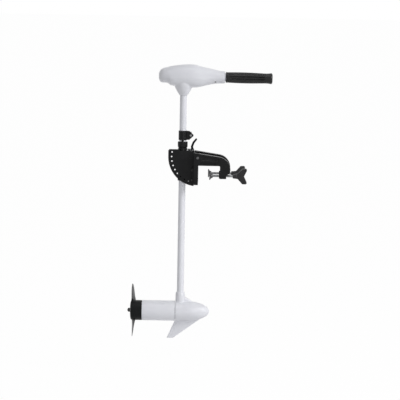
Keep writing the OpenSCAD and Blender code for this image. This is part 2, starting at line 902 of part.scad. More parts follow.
// Seat under the speed switch
module switch_pedestal(floor_z) {
    x = head_fwd - tiller_tail - switch_gap - switch_len + 10;
    difference() {
        translate([x, -9, floor_z]) cube([20, 18, tiller_h - switch_r / 2 - floor_z]);
        translate([head_fwd, 0, tiller_h]) rotate([0, tiller_drop, 0]) x_rod(switch_r + slip, -2 * head_fwd, 0);
    }
}

module head_cover() {
    color(white) at_head() difference() {
        union() {
            intersection() {
                head_shell();
                head_half(true);
            }
            intersection() {
                head_form(0);
                head_half(true);
                head_post_places() z_rod(post_r, part_h, part_h + 80);
            }
        }
        head_post_places() z_rod(head_screw_r + slip, part_h - over, part_h + 14);
        socket_space();
    }
}

module head_screws() {
    color(steel) at_head() {
        head_post_places() {
            z_rod(head_screw_r, part_h - 5, part_h + 12);
            z_rod(head_screw_head, part_h - 6.4, part_h - 4);
        }
        translate([head_fwd, 0, tiller_h]) rotate([0, tiller_drop, 0])
            translate([-handle_screw_x, 0, handle_screw_z]) {
                y_rod(head_screw_r, -19, -5);
                y_rod(head_screw_head, -20.6, -18.6);
            }
    }
}

module neck_screw() {
    color(steel) at_head() translate([0, 0, neck_screw_z]) {
        y_rod(2, shaft_r - shaft_wall, cone_r + 6.8);
        y_rod(3.6, cone_r + 6.4, cone_r + 8.6);
    }
}

module tiller_bushing() {
    rim_r = socket_r + 1.5;
    rim_from = rim_r * tan(tiller_drop) + 0.1;
    rim_t = 2.4;
    color(white) at_tiller() difference() {
        union() {
            x_rod(socket_r, -socket_len, rim_from + over);
            x_rod(rim_r, rim_from, rim_from + rim_t);
        }
        x_rod(tiller_r + slip, -socket_len - over, rim_from + rim_t + over);
        translate([-handle_screw_x, 0, handle_screw_z]) y_rod(head_screw_r + slip, -40, -4.5);
    }
}

module speed_switch() {
    from = -tiller_tail - switch_gap - switch_len;
    tab_w = 3;
    color(black) at_tiller() difference() {
        union() {
            x_rod(switch_r, from, from + switch_len);
            for (y = [-9, -3, 3, 9]) translate([from - 6, y - tab_w / 2, -1]) cube([6 + over, tab_w, 2]);
        }
        x_rod(rod_w / 2 + slip, from + switch_len - stub_len - gap, from + switch_len + over);
    }
}

module lead_gland() {
    color(black) at_head() translate([gland_x, 0, gland_z]) difference() {
        union() {
            y_rod(gland_r, gland_y - 7, gland_y + 9);
            y_rod(gland_r + 1.5, gland_y + 0.2, gland_y + 3.2);
        }
        y_rod(gland_bore / 2, gland_y - 8, gland_y + 10);
    }
}

// Tiller

module speed_rod() {
    from = -tiller_tail - switch_gap;
    color(steel) at_tiller() {
        x_rod(rod_w / 2, from - stub_len, from + over);
        translate([from, -rod_w / 2, -rod_w / 2]) cube([switch_gap + tiller_tail + 20, rod_w, rod_w]);
    }
}

module tiller_tube() {
    color(white) at_tiller() x_ring(tube_in, tiller_r, -tiller_tail, grip_start + grip_len);
}

module rod_slider() {
    hole = rod_w + 2 * slip;
    color(nylon) at_tiller() difference() {
        x_rod(tube_in - slip, -tiller_tail, -tiller_tail + slider_len);
        translate([-tiller_tail - over, -hole / 2, -hole / 2]) cube([slider_len + 2 * over, hole, hole]);
    }
}

// Radius of the grip from its inner flange to its end flange, with a swell at the middle
function grip_radius(t) =
    grip_d / 2 - 1.6 + 1.6 * sin(230 * t) + 2.4 * pow(max(0, (t - 0.86) / 0.14), 2)
        + 1.2 * pow(max(0, (0.05 - t) / 0.05), 2);

module grip_sleeve() {
    steps = 28;
    groove_r = 1.5;
    color(rubber) at_tiller() difference() {
        x_turn() polygon(concat(
            [[tiller_r + slip, grip_start]],
            [for (i = [0 : steps]) [grip_radius(i / steps), grip_start + grip_len * i / steps]],
            [[tiller_r + slip, grip_start + grip_len]]
        ));
        for (i = [0 : grip_grooves - 1]) rotate([i * 360 / grip_grooves, 0, 0])
            translate([0, 0, grip_d / 2 - 0.1])
                x_rod(groove_r, grip_start + 12, grip_start + grip_len * 0.88);
    }
}

module grip_cap() {
    end = grip_start + grip_len;
    rim = grip_radius(1);
    color(rubber) at_tiller() {
        x_turn() polygon([
            [0, end], [rim, end], [rim - 0.6, end + 2], [rim - 2.2, end + 4.4], [rim - 5.5, end + cap_len],
            [0, end + cap_len]
        ]);
        x_rod(tube_in - slip, end - cap_plug, end + over);
    }
}

// Motor

module nose_outline() {
    curve_from = seam_x + nose_straight;
    curve_len = tip_x - curve_from;
    spigot_r = bore_r - seat;
    polygon(concat(
        [[0, seam_x - spigot_len], [spigot_r, seam_x - spigot_len], [spigot_r, seam_x], [motor_r, seam_x]],
        [for (a = [0 : 6 : 90]) [motor_r * cos(a), curve_from + curve_len * sin(a)]]
    ));
}

// Streamlined foot of the neck
module neck_fairing() {
    hull() {
        translate([8, 0, 0]) cylinder(r = neck_d / 2 - 7, h = neck_h - 13, $fn = hull_fn);
        translate([44, 0, 0]) cylinder(r = 6, h = motor_r + 4, $fn = hull_fn);
    }
}

module skeg() {
    root_z = -18;
    lead_x = tip_x - 18;
    tip_front = -29;
    tip_back = -54;
    hull() {
        translate([lead_x, 0, root_z]) cylinder(r = 2, h = 2, $fn = hull_fn);
        translate([20, -6, root_z]) cube([50, 12, 2]);
        translate([-11, -2.5, root_z]) cube([2, 5, 2]);
        translate([tip_front, 0, -skeg_drop]) cylinder(r = 1.5, h = 2, $fn = hull_fn);
        translate([tip_back, -1.2, -skeg_drop]) cube([2, 2.4, 2]);
    }
}

module seal_groove(x) {
    x_ring(bore_r - 2.2, bore_r + 2, x - 1.2 * ring_r, x + 1.2 * ring_r);
}

module bolt_places() {
    both_sides() translate([0, bolt_off, 0]) children();
}

module nose_housing() {
    color(white) at_motor() difference() {
        union() {
            x_turn() nose_outline();
            z_rod(neck_d / 2, 0, neck_h - 8);
            translate([0, 0, neck_h - 8]) cylinder(r1 = neck_d / 2, r2 = shaft_r + 2.4, h = 8);
            neck_fairing();
            skeg();
        }
        x_rod(cavity_r, seam_x - spigot_len - over, brg_x);
        x_rod(brg_r + slip, brg_x - over, brg_x + brg_t + seat);
        x_rod(spindle_r + 1, brg_x, brg_x + brg_t + 4);
        z_rod(shaft_r + slip, cavity_r + foot_web, neck_h + over);
        z_rod(shaft_r - shaft_wall, 0, cavity_r + foot_web + over);
        bolt_places() x_rod(bolt_r + slip, seam_x - spigot_len - over, seam_x + 15);
        seal_groove(seam_x - ring_off);
        x_ring(bore_r - seat / 2, motor_r + gap, tube_back, seam_x);
    }
}

module motor_tube() {
    color(white) at_motor() x_ring(bore_r, motor_r, tube_back, seam_x);
}

module rear_bell() {
    web_t = 8;
    spigot_r = bore_r - seat;
    color(white) at_motor() difference() {
        union() {
            x_rod(motor_r, bell_back, tube_back);
            x_rod(spigot_r, tube_back - over, tube_back + spigot_len);
        }
        difference() {
            x_rod(cavity_r, bell_back + web_t, tube_back + spigot_len + over);
            x_rod(brg_r + 4, bell_back, bell_back + web_t + brg_t);
        }
        x_rod(brg_r + slip, bell_back + web_t, bell_back + web_t + brg_t + over);
        x_rod(spindle_r + 1.5, bell_back - over, bell_back + web_t + over);
        x_rod(seal_r + slip, bell_back - over, bell_back + 4.5);
        bolt_places() x_rod(bolt_r + slip, bell_back - over, tube_back + spigot_len + over);
        bolt_places() x_rod(bolt_head_r + 0.2, bell_back - over, bell_back + 3);
        seal_groove(tube_back + ring_off);
    }
}

module tube_seals() {
    color(rubber) at_motor() for (x = [seam_x - ring_off, tube_back + ring_off])
        translate([x, 0, 0]) x_turn() translate([bore_r - slip - ring_r, 0]) circle(r = ring_r);
}

module through_bolts() {
    color(steel) at_motor() bolt_places() {
        x_rod(bolt_r, bell_back + 1, seam_x + 14);
        x_rod(bolt_head_r, bell_back + 0.3, bell_back + 3);
    }
}

module field_magnets() {
    split = 16;
    color("#3b3b40") at_motor() difference() {
        x_ring(cavity_r + 0.6, bore_r - slip, core_back - 2, core_front - 1);
        translate([core_back - 20, -motor_d, -split]) cube([core_len + 60, 2 * motor_d, 2 * split]);
    }
}

module brush_boxes(y_from, y_to, w, h) {
    x_mid = com_x + com_len / 2;
    both_sides() translate([x_mid - w / 2, y_from, -h / 2]) cube([w, y_to - y_from, h]);
}

module brush_plate() {
    w = brush_w + 2 * holder_wall;
    color(nylon) at_motor() difference() {
        union() {
            x_ring(com_r + 2, cavity_r - seat, plate_x, plate_x + plate_t);
            intersection() {
                brush_boxes(com_r + 2.5, holder_reach, w, brush_h + 2 * holder_wall);
                x_rod(cavity_r - seat, com_x - 20, plate_x + over);
            }
            intersection() {
                brush_boxes(com_r + 2.5, holder_reach - over, w + 8, brush_h + 2 * holder_wall);
                x_rod(cavity_r - seat, com_x + com_len / 2, plate_x + over);
            }
        }
        brush_boxes(0, holder_reach - 2, brush_w + 2 * seat, brush_h + 2 * seat);
    }
}

module brushes() {
    color("#3a3836") at_motor() brush_boxes(com_r + seat, com_r + seat + brush_len, brush_w, brush_h);
}

module brush_springs() {
    from = com_r + seat + brush_len + 0.05;
    color(steel) at_motor() both_sides() translate([com_x + com_len / 2, 0, 0]) difference() {
        y_rod(3, from, holder_reach - 2.05);
        y_rod(2, from - over, holder_reach);
    }
}

module bearings() {
    color(steel) at_motor() {
        x_ring(spindle_r + slip, brg_r, brg_x, brg_x + brg_t);
        x_ring(spindle_r + slip, brg_r, bell_back + 8.2, bell_back + 8.2 + brg_t);
    }
}

module shaft_seal() {
    color(rubber) at_motor() x_ring(spindle_r + slip, seal_r, bell_back + 0.4, bell_back + 4.4);
}

module rotor_shaft() {
    color(steel) at_motor() difference() {
        x_rod(spindle_r, hub_back - washer_t - nut_len - 3, brg_x + brg_t - 0.5);
        translate([pin_x, 0, 0]) z_rod(pin_r + slip, -20, 20);
    }
}

module armature_core() {
    slots = 12;
    color("#7d7f83") at_motor() difference() {
        x_ring(spindle_r + slip, core_d / 2, core_back, core_front);
        for (i = [0 : slots - 1]) rotate([i * 360 / slots, 0, 0])
            translate([0, 0, core_d / 2 - 1.5]) x_rod(2.6, core_back - over, core_front + over);
    }
}

module windings() {
    color(copper) at_motor() for (x = [core_front, core_back - coil_len])
        translate([x, 0, 0]) x_turn() translate([spindle_r + 3, 0]) {
            square([core_d / 2 - spindle_r - 9, coil_len]);
        }
}

module commutator() {
    color(copper) at_motor() x_ring(spindle_r + slip, com_r, com_x, com_x + com_len);
}

// Propeller

// Blade sections from root to tip: radius as a share of the tip's, chord, pitch angle,
// thickness and how far the section lies ahead of the hub's rear end
blade_rows = [
    [0.28, 50, 26, 7.4, 13.2],
    [0.45, 62, 20, 6.2, 12.6],
    [0.58, 71, 15.8, 5.2, 12.2],
    [0.73, 74, 12, 4.2, 11],
    [0.87, 66, 10.6, 3.4, 9.6],
    [0.95, 46, 10.5, 2.8, 8.4],
    [1.00, 16, 10, 2, 7.6]
];
blade_sides = 14;

function blade_ring(row) =
    [for (i = [blade_sides - 1 : -1 : 0])
        let (a = 360 * i / blade_sides, u = row[1] / 2 * cos(a), v = row[3] / 2 * sin(a))
            [hub_back + row[4] + u * sin(row[2]) + v * cos(row[2]),
                u * cos(row[2]) - v * sin(row[2]), row[0] * prop_d / 2]];

module blade() {
    loft([for (row = smooth_rows(blade_rows, 2)) blade_ring(row)]);
}

module propeller() {
    r = hub_d / 2;
    inner = r - hub_wall;
    color(black) at_motor() difference() {
        union() {
            x_turn() polygon([
                [0, hub_front - 3], [hub_boss_r, hub_front - 3], [hub_boss_r, hub_back + 7],
                [inner, hub_back + 8], [inner, hub_front], [r, hub_front], [r, hub_back + 9],
                [r - 3, hub_back + 3.4], [r - 12, hub_back + 1], [12, hub_back], [0, hub_back]
            ]);
            for (i = [0 : blade_count - 1]) rotate([i * 360 / blade_count, 0, 0]) blade();
        }
        x_rod(spindle_r + slip, hub_back - over, hub_front + over);
        translate([pin_x, 0, 0]) z_rod(pin_r + slip, -hub_boss_r - over, hub_boss_r + over);
    }
}

module drive_pin() {
    color(steel) at_motor() translate([pin_x, 0, 0]) z_rod(pin_r, -hub_boss_r + 0.5, hub_boss_r - 0.5);
}

module prop_washer() {
    color(steel) at_motor() x_ring(spindle_r + slip, spindle_r + 5, hub_back - washer_t, hub_back);
}

module prop_nut() {
    from = hub_back - washer_t - nut_len;
    color(steel) at_motor() difference() {
        translate([from, 0, 0]) rotate([0, 90, 0]) cylinder(r = spindle_r * 1.75, h = nut_len, $fn = 6);
        x_rod(spindle_r + slip, from - over, from + nut_len + over);
    }
}

// Clamp screws

module at_screw(side) {
    x = side < 0 ? pad_gap : pad_gap - far_turned_in;
    translate([x, side * screw_y, 0]) children();
}

module clamp_pad(side) {
    r = pad_d / 2;
    color(steel) at_screw(side) x_turn() polygon([
        [0, 0], [r, 0], [r, 3], [screw_r + 5, 8], [screw_r + 3, pad_cone], [screw_r + slip, pad_cone],
        [screw_r + slip, pad_cone - socket_depth], [0, pad_cone - socket_depth]
    ]);
}

module clamp_screw(side) {
    from = pad_cone - socket_depth + seat;
    color(steel) at_screw(side) x_rod(screw_r, from, screw_reach + knob_hub_len - 3);
}

module clamp_knob(side, turn) {
    wing_t = 10;
    hub = screw_reach;
    color(black) at_screw(side) rotate([turn, 0, 0]) difference() {
        union() {
            x_rod(knob_hub_r, hub, hub + knob_hub_len);
            for (half = [0, 180]) rotate([half, 0, 0]) upright(-wing_t / 2, wing_t / 2) polygon([
                [hub + 3, 0], [hub + 1, knob_hub_r - 1], [hub + 20, knob_hub_r + 1],
                [hub + 38, wing_reach - 1.5], [hub + 41, wing_reach], [hub + 54, wing_reach],
                [hub + 58, wing_reach - 4], [hub + 57, wing_reach - 9], [hub + 46, 0]
            ]);
        }
        x_rod(screw_r + slip, hub - over, hub + knob_hub_len - 3 + slip);
    }
}

module clamp_pad_near() { clamp_pad(-1); }
module clamp_screw_near() { clamp_screw(-1); }
module clamp_knob_near() { clamp_knob(-1, 14); }
module clamp_pad_far() { clamp_pad(1); }
module clamp_screw_far() { clamp_screw(1); }
module clamp_knob_far() { clamp_knob(1, -28); }

clamp_frame();
index_quadrant();
far_cheek();
pivot_bolt();
pivot_nut();
bracket_bolts();
clamp_inserts();
tilt_yoke();
pivot_bush();
upper_bush();
lower_bush();
lever_pin();
tension_collar();
lock_lever();
lock_rod();
lock_pin();
depth_collar();
collar_bolt();
collar_washer();
collar_knob();
shaft_tube();
motor_leads();
lead_grommets();
head_base();
head_cover();
head_screws();
neck_screw();
tiller_bushing();
speed_switch();
lead_gland();
speed_rod();
tiller_tube();
rod_slider();
grip_sleeve();
grip_cap();
nose_housing();
motor_tube();
rear_bell();
tube_seals();
through_bolts();
field_magnets();
brush_plate();
brushes();
brush_springs();
bearings();
shaft_seal();
rotor_shaft();
armature_core();
windings();
commutator();
propeller();
drive_pin();
prop_washer();
prop_nut();
clamp_pad_near();
clamp_screw_near();
clamp_knob_near();
clamp_pad_far();
clamp_screw_far();
clamp_knob_far();
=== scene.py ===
import json
import math

import bmesh
import bpy
from mathutils import Matrix, Vector


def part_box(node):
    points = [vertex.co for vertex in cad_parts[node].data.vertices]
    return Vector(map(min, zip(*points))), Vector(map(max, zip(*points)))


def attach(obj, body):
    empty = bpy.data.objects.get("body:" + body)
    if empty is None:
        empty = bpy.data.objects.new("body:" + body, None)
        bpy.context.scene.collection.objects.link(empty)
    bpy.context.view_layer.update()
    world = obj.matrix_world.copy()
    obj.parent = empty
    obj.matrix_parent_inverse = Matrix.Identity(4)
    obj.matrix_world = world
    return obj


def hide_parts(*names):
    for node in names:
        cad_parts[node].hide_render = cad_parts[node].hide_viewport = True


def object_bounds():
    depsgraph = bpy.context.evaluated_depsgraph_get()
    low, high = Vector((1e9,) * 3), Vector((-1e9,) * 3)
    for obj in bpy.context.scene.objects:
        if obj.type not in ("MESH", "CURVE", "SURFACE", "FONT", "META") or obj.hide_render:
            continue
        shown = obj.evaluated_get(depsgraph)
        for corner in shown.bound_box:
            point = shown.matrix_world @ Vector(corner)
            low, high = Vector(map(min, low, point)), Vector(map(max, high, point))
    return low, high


# trolling motor for a boat's transom, in metres: x ahead, y to port, z up
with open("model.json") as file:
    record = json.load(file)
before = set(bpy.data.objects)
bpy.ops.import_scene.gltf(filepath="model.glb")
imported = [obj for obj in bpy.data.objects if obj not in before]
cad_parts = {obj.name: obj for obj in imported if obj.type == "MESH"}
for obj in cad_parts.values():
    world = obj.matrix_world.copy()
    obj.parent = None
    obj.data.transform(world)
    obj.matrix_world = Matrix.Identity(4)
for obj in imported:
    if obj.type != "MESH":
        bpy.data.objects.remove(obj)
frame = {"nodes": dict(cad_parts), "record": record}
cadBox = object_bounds()
nodes = frame["nodes"]
mm = 0.001
mergeDistance, cutTolerance = 1e-6, 1e-7
alongX, alongZ = Vector((1, 0, 0)), Vector((0, 0, 1))
bodyOf = {}
for bodyName, members in frame["record"]["behaviour"]["bodies"].items():
    for member in members:
        bodyOf[member] = bodyName
slotOf = {entry["node"]: entry["material_slot"] for entry in frame["record"]["subparts"]}
print("frame loaded:", len(nodes), "nodes")


def middle(node):
    low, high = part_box(node)
    return (low + high) / 2


shaftX = middle("shaft_tube").x
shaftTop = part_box("shaft_tube")[1].z
motorAxisZ = middle("motor_tube").z
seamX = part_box("motor_tube")[1].x


# shader wiring: an expression on wires adds its Math nodes
class Wire:
    def __init__(self, wiring, socket):
        self.wiring, self.socket = wiring, socket

    def maths(self, operation, first, second):
        return self.wiring.add("ShaderNodeMath", {"operation": operation}, {0: first, 1: second})

    def __add__(self, other):
        return self.maths("ADD", self, other)

    def __sub__(self, other):
        return self.maths("SUBTRACT", self, other)

    def __rsub__(self, other):
        return self.maths("SUBTRACT", other, self)

    def __mul__(self, other):
        return self.maths("MULTIPLY", self, other)

    __radd__, __rmul__ = __add__, __mul__


# the node tree of a material or of the world
class Wiring:
    def __init__(self, owner):
        owner.use_nodes = True
        self.tree = owner.node_tree

    # any node: settings come first, then the values or wires of its sockets
    def add(self, kind, settings, sockets, output=0):
        node = self.tree.nodes.new(kind)
        for key, value in settings.items():
            setattr(node, key, value)
        for key, value in sockets.items():
            self.feed(node.inputs[key], value)
        return Wire(self, node.outputs[output])

    def feed(self, socket, value):
        if isinstance(value, Wire):
            self.tree.links.new(value.socket, socket)
        else:
            socket.default_value = value

    def between(self, wire, span, low=0.0, high=1.0):
        return self.add("ShaderNodeMapRange", {}, {
            "Value": wire, "From Min": span[0], "From Max": span[1], "To Min": low, "To Max": high})

    # 1 for the rays that see the pale backdrop itself
    def backdropRays(self):
        kinds = ("Is Camera Ray", "Is Glossy Ray", "Is Transmission Ray")
        straight, mirrored, through = [
            self.add("ShaderNodeLightPath", {}, {}, kind) for kind in kinds]
        return straight + mirrored + through


class Finish(Wiring):
    def __init__(self, name):
        self.material = bpy.data.materials.new(name)
        super().__init__(self.material)
        self.shader = self.tree.nodes["Principled BSDF"]

    def surface(self, sockets):
        for key, value in sockets.items():
            self.feed(self.shader.inputs[key], value)
        return self.material

    def noise(self, scale, detail=3, stretch=(1, 1, 1), crispness=0.55):
        spot = self.add("ShaderNodeTexCoord", {}, {}, "Object")
        spot = self.add("ShaderNodeMapping", {}, {"Vector": spot, "Scale": stretch})
        return self.add("ShaderNodeTexNoise", {}, {
            "Vector": spot, "Scale": scale, "Detail": detail, "Roughness": crispness})

    # a blend of two colours: the Mix node's colour sockets are 6 and 7, and its colour output is 2
    def tint(self, factor, first, second):
        first, second = [
            colour if isinstance(colour, Wire) else (*colour, 1) for colour in (first, second)]
        return self.add("ShaderNodeMix", {"data_type": "RGBA"}, {0: factor, 6: first, 7: second}, 2)

    # how far the surface turns within a short reach: 1 along edges
    def edges(self, reach, span=(0.03, 0.20), samples=4):
        rounded = self.add("ShaderNodeBevel", {"samples": samples}, {"Radius": reach})
        facing = self.add("ShaderNodeNewGeometry", {}, {}, "Normal")
        same = self.add("ShaderNodeVectorMath", {"operation": "DOT_PRODUCT"}, {
            0: rounded, 1: facing}, "Value")
        return self.between(1 - same, span)

    def bump(self, height, depth, strength):
        return self.add("ShaderNodeBump", {}, {
            "Strength": strength, "Distance": depth, "Height": height})


# sprayed paint: faint clouds, orange peel, a few specks, and edges rubbed by handling
whitePaint = {
    "colour": (0.775, 0.783, 0.828), "shade": (0.74, 0.748, 0.795), "rub": (0.66, 0.67, 0.69),
    "roughness": (0.30, 0.42), "roughSpan": (0.3, 0.7), "specular": 0.5,
    "clouds": 14, "cloudSpan": (0.35, 0.65),
    "edge": 0.0012, "wornSpan": (0.42, 0.7), "wornShare": 0.5,
    "specks": 495, "speckSpan": (0.70, 0.78), "speckShare": 0.05,
    "peel": 900, "peelDepth": 0.00004, "peelStrength": 0.6, "fineDetail": 2,
}
whiteShell = {**whitePaint, "roughness": (0.26, 0.38), "peelDepth": 0.00003}


def makePaint(name, look):
    finish = Finish(name)
    clouds = finish.noise(look["clouds"])
    specks = finish.between(finish.noise(look["specks"], look["fineDetail"]), look["speckSpan"])
    peel = finish.noise(look["peel"], look["fineDetail"])
    base = finish.tint(finish.between(clouds, look["cloudSpan"]), look["colour"], look["shade"])
    wornAndSheen = finish.edges(look["edge"]) * finish.between(clouds, look["wornSpan"])
    marks = wornAndSheen * look["wornShare"] + specks * look["speckShare"]
    return finish.surface({
        "Base Color": finish.tint(marks, base, look["rub"]),
        "Roughness": finish.between(clouds, look["roughSpan"], *look["roughness"]),
        "Specular IOR Level": look["specular"],
        "Normal": finish.bump(peel, look["peelDepth"], look["peelStrength"])})


# what all moulded pieces share: flow of the melt, handled edges and fine grain; on the grip the edge
# colour is also a painted highlight along the rib crests
moulded = {
    "flow": 30, "flowDetail": 4, "flowSpan": (0.3, 0.7), "wornSpan": (0.35, 0.75), "wornShare": 0.55,
    "paleSpan": (0.62, 0.8), "paleShare": 0.08, "roughSpan": (0.3, 0.7), "roughness": (-0.04, 0.04),
    "grainDetail": 2, "grainStrength": 0.7,
}
blackComposite = {
    "colour": (0.0048, 0.005, 0.0055), "shade": (0.0085, 0.0088, 0.0095), "rub": (0.06, 0.06, 0.062),
    "roughness": (0.27, 0.39), "grain": 1400, "grainDepth": 0.00005, "edge": 0.0018, "specular": 0.15,
}
# ribbed grip: the pale edge colour on the rib crests is a painted highlight laid over handled wear
gripRubber = {
    "colour": (0.005, 0.005, 0.0056), "shade": (0.009, 0.009, 0.0098), "rub": (0.17, 0.17, 0.17),
    "roughness": (0.17, 0.26), "grain": 2200, "grainDepth": 0.00004, "edge": 0.003, "specular": 0.29,
}
knobComposite = {
    "colour": (0.015, 0.015, 0.016), "shade": (0.028, 0.028, 0.029), "rub": (0.10, 0.10, 0.10),
    "roughness": (0.28, 0.40), "grain": 1400, "grainDepth": 0.00006, "edge": 0.0022, "specular": 0.22,
}
propComposite = {
    "colour": (0.005, 0.0056, 0.0062), "shade": (0.009, 0.0096, 0.0104), "rub": (0.06, 0.062, 0.064),
    "roughness": (0.28, 0.40), "grain": 1100, "grainDepth": 0.00005, "edge": 0.0012, "specular": 0.11,
}
bushNylon = {
    "colour": (0.74, 0.71, 0.62), "shade": (0.66, 0.63, 0.54), "rub": (0.55, 0.52, 0.45),
    "roughness": (0.42, 0.55), "grain": 900, "grainDepth": 0.00003, "edge": 0.001, "specular": 0.45,
}
brushCarbon = {
    "colour": (0.045, 0.043, 0.042), "shade": (0.07, 0.068, 0.065), "rub": (0.1, 0.1, 0.1),
    "roughness": (0.5, 0.7), "grain": 1500, "grainDepth": 0.00004, "edge": 0.001, "specular": 0.4,
}


def makeComposite(name, look):
    finish = Finish(name)
    flow = finish.noise(moulded["flow"], moulded["flowDetail"])
    grain = finish.noise(look["grain"], moulded["grainDetail"])
    base = finish.tint(finish.between(flow, moulded["flowSpan"]), look["colour"], look["shade"])
    # handled wear along the edges; on the grip this also paints the highlight on the rib crests
    wornAndSheen = finish.edges(look["edge"]) * finish.between(flow, moulded["wornSpan"])
    pale = finish.between(grain, moulded["paleSpan"])
    marks = wornAndSheen * moulded["wornShare"] + pale * moulded["paleShare"]
    broad = finish.between(flow, moulded["roughSpan"], *look["roughness"])
    fine = finish.between(grain, moulded["roughSpan"], *moulded["roughness"])
    return finish.surface({
        "Base Color": finish.tint(marks, base, look["rub"]), "Roughness": broad + fine,
        "Specular IOR Level": look["specular"],
        "Normal": finish.bump(grain, look["grainDepth"], moulded["grainStrength"])})


# what all metals share: tool marks drawn out along the piece, and stains
machined = {
    "marks": 260, "stretch": (0.08, 1, 1), "markSpan": (0.3, 0.7), "markDepth": 0.00004,
    "markStrength": 0.5, "stain": 45, "stainDetail": 4, "stainSpan": (0.35, 0.7),
}
blackenedSteel = {
    "colour": (0.020, 0.020, 0.022), "shade": (0.032, 0.031, 0.030), "roughness": (0.34, 0.5),
    "metallic": 0.35,
}
# a darker copy of the steel for the pivot bolt, its nut and the clamp pads
agedSteel = {
    "colour": (0.13, 0.13, 0.135), "shade": (0.09, 0.09, 0.09), "roughness": (0.42, 0.56),
    "metallic": 1.0,
}
plainSteel = {
    "colour": (0.27, 0.275, 0.28), "shade": (0.18, 0.183, 0.187), "roughness": (0.26, 0.42),
    "metallic": 1.0,
}
insertBrass = {
    "colour": (0.60, 0.42, 0.14), "shade": (0.42, 0.28, 0.09), "roughness": (0.28, 0.45),
    "metallic": 1.0,
}
windingCopper = {
    "colour": (0.62, 0.27, 0.12), "shade": (0.42, 0.17, 0.07), "roughness": (0.30, 0.50),
    "metallic": 1.0,
}
magnetFerrite = {
    "colour": (0.07, 0.07, 0.075), "shade": (0.045, 0.045, 0.05), "roughness": (0.55, 0.75),
    "metallic": 0.0,
}


def makeMetal(name, look):
    finish = Finish(name)
    marks = finish.noise(machined["marks"], stretch=machined["stretch"])
    stain = finish.noise(machined["stain"], machined["stainDetail"])
    return finish.surface({
        "Base Color": finish.tint(
            finish.between(stain, machined["stainSpan"]), look["colour"], look["shade"]),
        "Metallic": look["metallic"],
        "Roughness": finish.between(marks, machined["markSpan"], *look["roughness"]),
        "Normal": finish.bump(marks, machined["markDepth"], machined["markStrength"])})


finishOf = {
    "white_paint": makePaint("whitePaint", whitePaint),
    "white_shell": makePaint("whiteShell", whiteShell),
    "black_composite": makeComposite("blackComposite", blackComposite),
    "steel": makeMetal("plainSteel", plainSteel),
    "black_steel": makeMetal("blackenedSteel", blackenedSteel),
    "brass": makeMetal("insertBrass", insertBrass),
    "copper": makeMetal("windingCopper", windingCopper),
    "ferrite": makeMetal("magnetFerrite", magnetFerrite),
    "grip_rubber": makeComposite("gripRubber", gripRubber),
    "nylon": makeComposite("bushNylon", bushNylon),
    "carbon": makeComposite("brushCarbon", brushCarbon),
}
# pieces whose look differs from the rest of their slot
ownFinish = {"propeller": makeComposite("propellerComposite", propComposite)}
darkSteelFinish = makeMetal("agedSteel", agedSteel)
for node in ("pivot_bolt", "pivot_nut", "clamp_pad_near", "clamp_pad_far"):
    ownFinish[node] = darkSteelFinish
knobFinish = makeComposite("knobComposite", knobComposite)
for node in ("clamp_knob_near", "clamp_knob_far"):
    ownFinish[node] = knobFinish
print("finishes made:", len({*finishOf.values(), *ownFinish.values()}))


def finishFor(node):
    return ownFinish.get(node) or finishOf[slotOf[node]]


def camelName(node):
    first, *rest = node.split("_")
    return first + "".join(word.capitalize() for word in rest)


# a bmesh as an object of the scene
def makeObject(name, bm):
    mesh = bpy.data.meshes.new(name)
    bm.to_mesh(mesh)
    bm.free()
    made = bpy.data.objects.new(name, mesh)
    bpy.context.scene.collection.objects.link(made)
    return made


# a finished piece that stands for a node; smooth is the sharpest angle shaded round
def makePiece(node, bm, smooth, name=None):
    piece = makeObject(name or camelName(node), bm)
    piece.data.shade_smooth()
    piece.data.set_sharp_from_angle(angle=math.radians(smooth))
    piece.data.materials.append(finishFor(node))
    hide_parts(node)
    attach(piece, bodyOf[node])
    return piece


def metres(outline):
    return [(radius * mm, along * mm) for radius, along in outline]


# outline of (radius, along) turned about an axis that runs through centre
def turnOutline(bm, outline, centre, axis, steps=96):
    side = axis.orthogonal().normalized()
    verts = [bm.verts.new(centre + side * radius + axis * along) for radius, along in outline]
    edges = [bm.edges.new(pair) for pair in zip(verts, verts[1:])]
    bmesh.ops.spin(bm, geom=verts + edges, cent=centre, axis=axis, dvec=(0, 0, 0),
                   angle=2 * math.pi, steps=steps, use_merge=True, use_duplicate=False)
    bmesh.ops.remove_doubles(bm, verts=bm.verts, dist=mergeDistance)
    bmesh.ops.recalc_face_normals(bm, faces=bm.faces)


def loopEdges(ring):
    inRing = set(ring)
    return list(dict.fromkeys(
        edge for vert in ring for edge in vert.link_edges if edge.other_vert(vert) in inRing))


# skins a row of rings and closes both ends
def skinRings(bm, rings):
    for first, second in zip(rings, rings[1:]):
        bmesh.ops.bridge_loops(bm, edges=loopEdges(first) + loopEdges(second))
    for ring in (rings[0], rings[-1]):
        bmesh.ops.holes_fill(bm, edges=loopEdges(ring), sides=0)
    bmesh.ops.recalc_face_normals(bm, faces=bm.faces)


# a point between start and end on a curve through four rows
def catmull(before, start, end, after, t):
    return [0.5 * (2 * b + (c - a) * t + (2 * a - 5 * b + 4 * c - d) * t * t
                   + (3 * b - a - 3 * c + d) * t ** 3)
            for a, b, c, d in zip(before, start, end, after)]


def smoothRows(rows, parts):
    padded = [rows[0], *rows, rows[-1]]
    fine = [catmull(*padded[i:i + 4], k / parts) for i in range(len(rows) - 1) for k in range(parts)]
    return fine + [list(rows[-1])]


